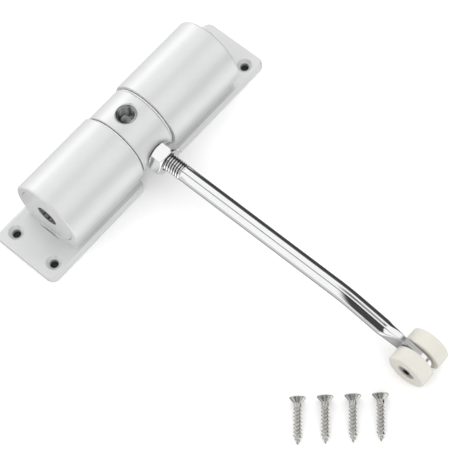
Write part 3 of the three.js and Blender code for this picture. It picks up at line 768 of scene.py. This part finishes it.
def arm():
    """Section carried along the middle line.

    The section is |x / thickness|^p + |u / width|^p = 1, where p grows from 2, a circle, to 9 as the press
    squares it. In the thread the radius loses depth * (1 - wave((length - angle) / pitch)). Past the axle
    the width follows the round end of the eye, sqrt(width^2 - distance^2).
    """
    eye = TAB_WIDTH / 2
    end_turn = np.linspace(0, math.pi / 2 - 0.06, 22)[1:]
    length = np.concatenate([
        np.arange(THREAD_START, THREAD_END + 1.4, THREAD_PITCH / 10),
        np.arange(THREAD_END + 2, BEND_START, 2),
        np.arange(BEND_START, PRESS_START, 1),
        np.arange(PRESS_START, FLAT_START, 0.5),
        np.linspace(FLAT_START, AXLE_ALONG_ARM, 16),
        AXLE_ALONG_ARM + eye * np.sin(end_turn),
    ])
    pressed = smooth_step(length, PRESS_START, FLAT_START)
    half_thickness = ROD_RADIUS + (TAB_THICKNESS / 2 - ROD_RADIUS) * pressed
    half_width = ROD_RADIUS + (eye - ROD_RADIUS) * pressed
    past_axle = np.maximum(0, length - AXLE_ALONG_ARM)
    half_width = half_width * np.sqrt(np.maximum(0, 1 - (past_axle / eye) ** 2))
    power = 2 + 7 * pressed**2
    angle = np.linspace(0, 2 * math.pi, 72, endpoint=False)
    x = np.sign(np.cos(angle)) * np.abs(np.cos(angle)) ** (2 / power[:, None])
    u = np.sign(np.sin(angle)) * np.abs(np.sin(angle)) ** (2 / power[:, None])
    lead = smooth_step(length, THREAD_START, THREAD_START + 1)
    run_out = 1 - smooth_step(length, THREAD_END - 0.6, THREAD_END + 1.2)
    wave = thread_wave(length[:, None] / THREAD_PITCH - angle[None] / (2 * math.pi))
    crest = ROD_RADIUS + (THREAD_RADIUS - ROD_RADIUS) * run_out - 0.5 * (1 - lead)
    thread = (crest[:, None] - THREAD_ROOT_DEPTH * (1 - wave) * run_out[:, None]) / ROD_RADIUS
    across = x * half_thickness[:, None] * thread
    upwards = u * half_width[:, None] * thread
    y, z, slope = (value[:, None] for value in arm_line(length))
    rings = np.stack([across, y - upwards * np.sin(slope), z + upwards * np.cos(slope)], axis=-1)
    return joined_rings("arm_rod_visual", rings)


def bright_chrome():
    """Bright chrome over polished steel: mirror-like, with faint polishing lines and a slight haze in places.

    The roots of the arm's thread get painted shade: the share of dark is a smooth step of the distance
    from the arm's axis, and ends with the thread.
    """
    material, shading, place = new_material("chromed_steel", {"Metallic": 1.0})
    haze = shading.noise(place, 140, 3)
    drawn_out = shading.node("ShaderNodeMapping", None, {"Vector": place, "Scale": (1, 0.02, 1)})
    lines = shading.noise(drawn_out, 4500, 2)
    x, y, z = shading.parts(place, 0, 1, 2)
    from_axis = shading.length(x, z - AXIS_HEIGHT * MM)
    root_radius = (THREAD_RADIUS - THREAD_ROOT_DEPTH) * MM
    # painted shade: the roots of the thread are darkened towards near black
    root = 1 - shading.smooth(from_axis, root_radius, (THREAD_RADIUS - 0.12) * MM)
    thread_shade_span = shading.smooth(y, -(THREAD_END + 0.5) * MM, -(THREAD_END - 1) * MM)
    bright = shading.mixed(haze, colour(0.93, 0.93, 0.925), colour(0.86, 0.865, 0.87))
    shading.feed("Base Color", shading.mixed(root * thread_shade_span * 0.92, bright, colour(0.07, 0.07, 0.068)))
    shading.feed("Roughness", 0.05 + 0.07 * haze + 0.03 * lines)
    shading.relief(lines, 0.004, 0.25)
    return material


arm_end_y, arm_end_z, _ = (float(value) for value in arm_line(np.array(AXLE_ALONG_ARM)))
AXLE_CENTRE = (0, arm_end_y, arm_end_z)
chrome = bright_chrome()
hole_walls = [(AXLE_RADIUS + 0.1, -5), (AXLE_RADIUS + 0.1, 5)]
axle_hole = turned("axle_hole", hole_walls, X_AXIS, AXLE_CENTRE, size=64)
rod = shaped(arm(), "DIFFERENCE", [axle_hole])
softened(rod, 0, angle=40)
finished(rod, "arm", "chromed_steel", chrome, "arm_rod")


# Lock nut
# A chromed M8 hexagon nut that is run up against the drum to lock the arm's thread.

NUT_ACROSS_FLATS = 13.0
NUT_THICKNESS = 6.5
NUT_TURN = math.radians(10)
NUT_FACE_RADIUS = 6.25
NUT_BORE = 4.08


def lock_nut():
    """Hexagon cut by a cone at both faces: radius = soft minimum of the hexagon's and the cone's radius.

    Rings go out across one face, over its 30 degree chamfer, along the flats, and back in over the other
    face to the bore. The soft minimum is -k ln(exp(-a / k) + exp(-b / k)), which rounds the edges slightly.
    """
    half = NUT_THICKNESS / 2
    corner = NUT_ACROSS_FLATS / 2 / math.cos(math.pi / 6)
    cone = np.linspace(NUT_FACE_RADIUS, corner + 0.5, 18)
    slope = math.tan(math.radians(30))
    front = np.concatenate([
        [(NUT_BORE, half - 0.6), (NUT_BORE + 0.5, half)],
        np.column_stack([cone, half - (cone - NUT_FACE_RADIUS) * slope]),
    ])
    flats = np.column_stack([np.full(5, corner + 0.5), np.linspace(1, -1, 7)[1:-1] * front[-1, 1]])
    profile = np.concatenate([front, flats, front[::-1] * [1, -1]])
    angle = np.linspace(0, 2 * math.pi, 216, endpoint=False)
    flats_at = np.arange(6) * math.pi / 3
    sharpness = 260
    nearest = np.log(np.exp(sharpness * (np.cos(angle[:, None] - flats_at) - 1)).sum(axis=1)) / sharpness + 1
    hexagon = NUT_ACROSS_FLATS / 2 / nearest
    softness = 0.05
    pair = np.logaddexp(-hexagon[None] / softness, -profile[:, :1] / softness)
    radius = -softness * pair
    turn = angle - NUT_TURN
    middle = -(DRUM_RADIUS + 0.3 + half)
    y = np.broadcast_to(middle - profile[:, 1:], radius.shape)
    rings = np.stack([radius * np.sin(turn), y, AXIS_HEIGHT + radius * np.cos(turn)], axis=-1)
    return joined_rings("lock_nut_visual", rings, endless=True)


nut = lock_nut()
softened(nut, 0, angle=25)
finished(nut, "arm", "chromed_steel", chrome, "lock_nut")


# Rollers and their rivet
# Two moulded nylon rollers run either side of the arm's eye. A hollow steel rivet through the eye holds
# them; its ends are flared in a recess in each outer face.

ROLLER_RADIUS = 9.0
ROLLER_WIDTH = 7.2
ROLLER_HOLE = 2.7
RECESS_RADIUS = 4.0
RECESS_DEPTH = 1.4
ROLLER_INNER_X = TAB_THICKNESS / 2 + 0.3
RIVET_HEAD_RADIUS = 3.2
RIVET_HEAD_HEIGHT = 0.8
RIVET_HOLLOW_RADIUS = 1.5
RIVET_HOLLOW_DEPTH = 3.5


def roller(name, side):
    """Turned profile with rounded rims, a bore for the rivet and a recess in the outer face for its head."""
    outer = ROLLER_INNER_X + ROLLER_WIDTH
    corners = [
        (ROLLER_HOLE, ROLLER_INNER_X),
        (ROLLER_RADIUS, ROLLER_INNER_X),
        (ROLLER_RADIUS, outer),
        (RECESS_RADIUS, outer),
        (RECESS_RADIUS, outer - RECESS_DEPTH),
        (ROLLER_HOLE, outer - RECESS_DEPTH),
    ]
    profile = rounded(corners, [0.2, 0.9, 0.9, 0.3, 0.2, 0.2], steps=7, closed=True)
    return turned(name, profile * [1, side], X_AXIS, AXLE_CENTRE, endless=True)


def rivet():
    """Turned profile of one flared, hollow end and of its mirror image, joined by the shank between."""
    outer = ROLLER_INNER_X + ROLLER_WIDTH
    head_low = outer - RECESS_DEPTH + 0.3
    head_high = head_low + RIVET_HEAD_HEIGHT
    end = rounded([
        (AXLE_RADIUS, 0),
        (AXLE_RADIUS, head_low),
        (RIVET_HEAD_RADIUS, head_low),
        (RIVET_HEAD_RADIUS, head_high),
        (RIVET_HOLLOW_RADIUS, head_high),
        (RIVET_HOLLOW_RADIUS, head_high - RIVET_HOLLOW_DEPTH),
        (0.2, head_high - RIVET_HOLLOW_DEPTH - 0.4),
    ], 0.22)
    profile = np.concatenate([end[:0:-1] * [1, -1], end[1:]])
    return turned("roller_axle_visual", profile, X_AXIS, AXLE_CENTRE, size=96)


def roller_nylon():
    """Ivory moulded nylon: slightly waxy, with faint clouds, specks and fine scuffs."""
    constants = {"Subsurface Weight": 0.12, "Subsurface Radius": (1.0, 0.8, 0.55), "Subsurface Scale": 0.002}
    material, shading, place = new_material("roller_nylon", constants)
    clouds = shading.noise(place, 160, 3)
    specks = shading.smooth(shading.noise(place, 1500, 2), 0.62, 0.72)
    ivory = shading.mixed(clouds, colour(0.55, 0.535, 0.48), colour(0.62, 0.605, 0.55))
    shading.feed("Base Color", shading.mixed(specks * 0.25, ivory, colour(0.4, 0.385, 0.33)))
    shading.feed("Roughness", 0.4 + 0.12 * clouds)
    shading.relief(shading.noise(place, 1100, 3), 0.02, 0.4)
    return material


def rivet_steel():
    """Plated steel, grey and slightly scuffed, with painted shade in the hollow by the distance from its
    axis.
    """
    material, shading, place = new_material("rivet_steel", {"Metallic": 1.0})
    scuffs = shading.noise(place, 1800, 3)
    y, z = shading.parts(place, 1, 2)
    from_axis = shading.length(y - AXLE_CENTRE[1] * MM, z - AXLE_CENTRE[2] * MM)
    # painted shade: the inside of the rivet's hollow is darkened to near black
    hollow_painted_shade = 1 - shading.smooth(from_axis, RIVET_HOLLOW_RADIUS * MM, (RIVET_HOLLOW_RADIUS + 0.4) * MM)
    rim = shading.mixed(scuffs, colour(0.5, 0.5, 0.49), colour(0.78, 0.78, 0.77))
    shading.feed("Base Color", shading.mixed(hollow_painted_shade, rim, colour(0.02, 0.02, 0.02)))
    shading.feed("Roughness", 0.14 + 0.2 * scuffs)
    shading.relief(scuffs, 0.01, 0.4)
    return material


nylon = roller_nylon()
for position, roller_side in (("front", -1), ("rear", 1)):
    wheel = roller(f"roller_{position}_visual", roller_side)
    softened(wheel, 0)
    finished(wheel, f"{position}_roller", "roller_nylon", nylon, f"roller_{position}")
axle = rivet()
softened(axle, 0)
finished(axle, "arm", "chromed_steel", rivet_steel(), "roller_axle")


# Fixing screws
# Four zinc-plated countersunk wood screws that fix the flange. They lie loose beside the arm, resting on
# head rim and tip.

SCREW_LENGTH = 20.0
SCREW_HEAD_RADIUS = 3.5
SCREW_CONE_LENGTH = 2.1
SCREW_RIM = 0.35
SCREW_ROOT_RADIUS = 1.15
SCREW_CREST_RADIUS = 1.75
SCREW_SHANK_RADIUS = 1.5
SCREW_SEGMENTS = 48
SCREW_PITCH = 1.6
SCREW_TIP_LENGTH = 3.5
CROSS_HALF_LENGTH = 1.9
CROSS_HALF_WIDTH = 0.45
CROSS_DEPTH = 1.6
ROW_START = np.array([-51.5, -138.2])
ROW_END = np.array([-28.4, -163.5])
HEADING = np.array([-0.77, -0.64]) / math.hypot(0.77, 0.64)


def screw(name, share):
    """Screw turned round X from its tip, then leant and turned into its place in the row.

    Radius = taper * (root + (crest - root) * ridge^1.3), where ridge is the helix's height from 0 to 1, taper
    narrows the tip, and the ridge fades to a plain shank under the head. The head's face sinks by depth *
    the product of two smooth steps that are 1 inside either bar of the cross.
    """
    neck = SCREW_LENGTH - SCREW_RIM - SCREW_CONE_LENGTH
    shank = np.arange(0.05, neck, SCREW_PITCH / 16)
    angle = np.linspace(0, 2 * math.pi, SCREW_SEGMENTS, endpoint=False)
    turns = shank[:, None] / SCREW_PITCH - angle[None] / (2 * math.pi)
    ridge = np.clip(1 - np.abs((turns % 1) * 2 - 1) * 1.7, 0, 1)
    taper = np.clip(shank / SCREW_TIP_LENGTH, 0, 1)[:, None] ** 0.8
    fade = 1 - smooth_step(shank, neck - 2.6, neck - 1.2)[:, None]
    root = SCREW_ROOT_RADIUS + (SCREW_SHANK_RADIUS - SCREW_ROOT_RADIUS) * (1 - fade)
    radius = taper * (root + (SCREW_CREST_RADIUS - root) * ridge**1.3 * fade) + 0.08
    head = rounded([
        (SCREW_SHANK_RADIUS + 0.08, neck),
        (SCREW_HEAD_RADIUS, SCREW_LENGTH - SCREW_RIM),
        (SCREW_HEAD_RADIUS, SCREW_LENGTH),
        (SCREW_HEAD_RADIUS - 0.6, SCREW_LENGTH),
    ], 0.15)
    face = np.linspace(SCREW_HEAD_RADIUS - 0.7, 0.1, 34)
    wide = (1, SCREW_SEGMENTS)
    ring_radius = np.concatenate([radius, np.tile(head[:, :1], wide), np.tile(face[:, None], wide)])
    along = np.concatenate([shank, head[:, 1], np.full(len(face), SCREW_LENGTH)])
    y = ring_radius * np.cos(angle)
    z = ring_radius * np.sin(angle)
    near, far = np.minimum(abs(y), abs(z)), np.maximum(abs(y), abs(z))
    in_bar = 1 - smooth_step(near, CROSS_HALF_WIDTH - 0.15, CROSS_HALF_WIDTH + 0.1)
    in_reach = 1 - smooth_step(far, CROSS_HALF_LENGTH * 0.4, CROSS_HALF_LENGTH)
    on_face = (np.arange(len(along)) >= len(shank) + len(head))[:, None]
    x = along[:, None] - on_face * CROSS_DEPTH * in_bar * in_reach
    points = np.stack([x - SCREW_LENGTH / 2, y, z], axis=-1)
    lean = math.asin((SCREW_HEAD_RADIUS - SCREW_CREST_RADIUS) / (SCREW_LENGTH - SCREW_TIP_LENGTH))
    heading = math.atan2(-HEADING[1], -HEADING[0])
    place = Matrix.Rotation(heading, 3, "Z") @ Matrix.Rotation(-lean, 3, "Y")
    points = points @ np.array(place).T
    points[..., :2] += ROW_START + (ROW_END - ROW_START) * share
    points[..., 2] -= points[..., 2].min()
    return joined_rings(name, points)


def plated_steel():
    """Zinc plating: warm grey, cloudy and slightly rough from the bath, darker where the film is thick."""
    material, shading, place = new_material("plated_steel", {"Metallic": 1.0})
    clouds = shading.noise(place, 700, 4)
    spots = shading.noise(place, 2600, 2)
    shading.feed("Base Color", shading.mixed(clouds, colour(0.42, 0.41, 0.39), colour(0.78, 0.77, 0.74)))
    shading.feed("Roughness", 0.1 + 0.18 * spots)
    shading.relief(clouds + 0.5 * spots, 0.03, 0.6)
    return material


plating = plated_steel()
for number in range(1, 5):
    fixing = screw(f"fixing_screw_{number}_visual", (number - 1) / 3)
    softened(fixing, 0, angle=50)
    finished(fixing, f"screw_{number}", "plated_steel", plating, f"fixing_screw_{number}")


# Studio
# A large pale floor under a light tent that lights evenly and mirrors as white with a few dark places: a
# card beyond the right end, a hood on the left, a narrow seam, and shaded bands overhead and in front.

FLOOR_RADIUS = 9000

def studio_floor():
    """Disc of rings that stand further apart outwards: radius = the floor's radius * share^2."""
    count, size = 16, 64
    angle = np.linspace(0, 2 * math.pi, size, endpoint=False)
    radius = FLOOR_RADIUS * np.linspace(0.02, 1, count)[:, None] ** 2
    low = np.full((count, size), -0.1)
    rings = np.stack([radius * np.cos(angle), radius * np.sin(angle), low], axis=-1)
    near, point = np.arange(count - 1)[:, None] * size, np.arange(size)[None]
    far, following = near + size, (point + 1) % size
    corners = [near + point, far + point, far + following, near + following]
    faces = np.stack(corners, axis=-1).reshape(-1, 4).tolist() + [list(range(size))]
    return make_piece("studio_floor", rings.reshape(-1, 3), faces)


def floor_paper():
    """Pale paper with faint fibre, with painted shade only where a screw hole of the flange looks down on it.
    """
    material, shading, place = new_material("floor_paper", {"Specular IOR Level": 0.1})
    fibre = shading.noise(place, 300, 3)
    paper_white = shading.mixed(fibre, colour(0.9, 0.9, 0.9), colour(0.93, 0.93, 0.93))
    dark_radius = (FIXING_HOLE_RADIUS + 0.4) * MM
    from_hole = from_fixing_hole(shading, place)
    # painted shade: the paper turns near black under each screw hole of the flange
    floor_painted_shade = 1 - shading.smooth(from_hole, dark_radius, dark_radius + 0.4 * MM)
    shading.feed("Base Color", shading.mixed(floor_painted_shade, paper_white, colour(0.03, 0.03, 0.03)))
    shading.feed("Roughness", 0.75 + 0.1 * fibre)
    return material


def light_tent(gloss_strength, diffuse_strength):
    """World that mirrors see as a tent with dark places, and diffuse surfaces as an even white.

    The tent's brightness is a product of smooth steps of the direction's three parts and of its two angles
    from upright, across the arm and along it.
    """
    world = bpy.data.worlds.new("light_tent")
    world.use_nodes = True
    bpy.context.scene.world = world
    tent = Shading(world.node_tree)
    direction = tent.node("ShaderNodeTexCoord", output="Generated")
    x, y, z = tent.parts(direction, 0, 1, 2)
    across = x.maths("ARCTAN2", x, z)
    along = y.maths("ARCTAN2", y, z)

    def band(angle, middle, half_core, half_width):
        """1 within half_core degrees of the middle angle, fading to 0 at half_width degrees."""
        distance = abs(angle - math.radians(middle))
        return 1 - tent.smooth(distance, math.radians(half_core), math.radians(half_width))

    card = tent.smooth(x, 0.45, 0.55) * band(across, 93, 32, 45)
    bend = 1 - tent.smooth(abs(y + 0.1), 0.12, 0.26)
    hood = tent.smooth(x, -0.12, -0.24) * bend * tent.smooth(z, -0.2, 0)
    overhead = 1 - tent.smooth(abs(x - 0.3), 0.16, 0.3)
    below = 1 - tent.smooth(z, -0.45, -0.1)
    behind = tent.smooth(y, -0.1, 0.15)
    bands = (1 - 0.8 * overhead * band(along, -3, 4, 18)) * (1 - 0.75 * band(along, -76, 4, 20))
    cards = (1 - 0.75 * band(across, -18, 4.5, 7)) * (1 - 0.94 * card) * (1 - 0.95 * hood)
    under = (1 + below * (0.3 - 0.66 * behind)) * (0.45 + 0.55 * tent.smooth(z, -0.88, -0.7))
    light = bands * cards * under
    to_camera, to_gloss = (
        tent.node("ShaderNodeLightPath", output=f"Is {kind} Ray") for kind in ("Camera", "Glossy")
    )
    seen = to_camera + (1 - to_camera) * to_gloss * light * gloss_strength
    shown = seen + (1 - to_camera) * (1 - to_gloss) * diffuse_strength
    background = world.node_tree.nodes["Background"]
    world.node_tree.links.new(shown.socket, background.inputs["Strength"])
    background.inputs["Color"].default_value = colour(1, 1, 1)


paper = studio_floor()
paper.data.materials.append(floor_paper())
paper.visible_glossy = False
light_tent(gloss_strength=1.02, diffuse_strength=1.42)

softbox = bpy.data.lights.new("softbox", "AREA")
softbox.shape = "RECTANGLE"
softbox.size = 0.5
softbox.size_y = 0.35
softbox.energy = 0.7
softbox_place = bpy.data.objects.new("softbox", softbox)
softbox_place.location = (0.3, 0.8, 0.35)
aim = Vector((0, -0.05, 0)) - softbox_place.location
softbox_place.rotation_euler = aim.to_track_quat("-Z", "Y").to_euler()
bpy.context.scene.collection.objects.link(softbox_place)

VIEW_AZIMUTH = math.radians(-44.77)
VIEW_ELEVATION = math.radians(65.09)
VIEW_ROLL = math.radians(-5.18)
VIEW_DISTANCE = 0.6994
VIEW_TARGET = Vector((-2.87, -62.46, 0)) * MM
SENSOR_WIDTH = 36
VIEW_LENS = 122.67

back = Vector((
    math.sin(VIEW_AZIMUTH) * math.cos(VIEW_ELEVATION),
    -math.cos(VIEW_AZIMUTH) * math.cos(VIEW_ELEVATION),
    math.sin(VIEW_ELEVATION),
))
level = Vector((0, 0, 1)).cross(back).normalized()
upright = back.cross(level)
right = level * math.cos(VIEW_ROLL) + upright * math.sin(VIEW_ROLL)
upward = upright * math.cos(VIEW_ROLL) - level * math.sin(VIEW_ROLL)

camera = bpy.data.objects.new("camera", bpy.data.cameras.new("camera"))
camera.data.sensor_width = SENSOR_WIDTH
camera.data.lens = VIEW_LENS
camera.data.clip_start = 0.01
camera.data.clip_end = 50
turn_camera = Matrix((right, upward, back)).transposed().to_4x4()
camera.matrix_world = Matrix.Translation(VIEW_TARGET + back * VIEW_DISTANCE) @ turn_camera
bpy.context.scene.collection.objects.link(camera)
bpy.context.scene.camera = camera
bpy.context.scene.view_settings.view_transform = "Standard"
